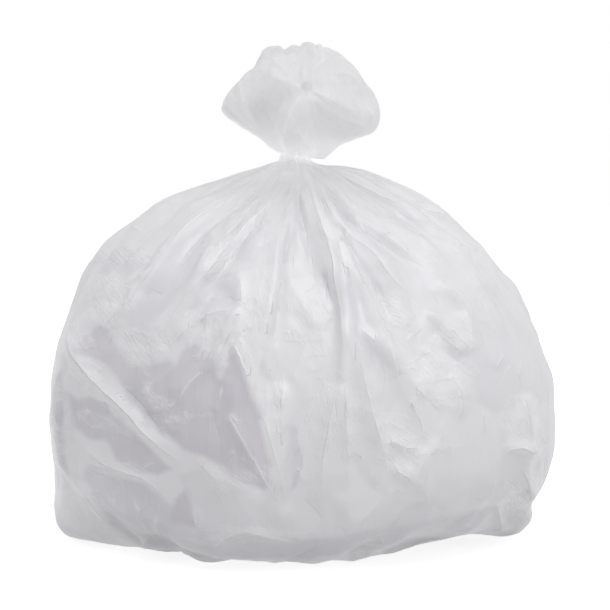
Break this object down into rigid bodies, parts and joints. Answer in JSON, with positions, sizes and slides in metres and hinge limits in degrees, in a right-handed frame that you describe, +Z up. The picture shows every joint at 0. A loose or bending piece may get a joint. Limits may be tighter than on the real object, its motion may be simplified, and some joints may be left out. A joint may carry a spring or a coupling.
{
  "type": "tied bin bag",
  "caption": "Filled bin bag of thin white film, standing on its flat sole, lumpy with its contents, with a gathered neck tied in its own film and a puffed loose end on top.",
  "frame": {"origin": "on the floor, in the middle of the flat sole, straight below the tied neck", "axes": "+X to the viewer's right with the front facing -Y, +Z up"},
  "size_m": [0.442, 0.3959, 0.4354],
  "materials": {
    "film": "thin translucent white polyethylene film, satin, with a soft shine on its folds"
  },
  "bodies": {
    "root": {"tied_bag": "film"}
  },
  "joints": []
}
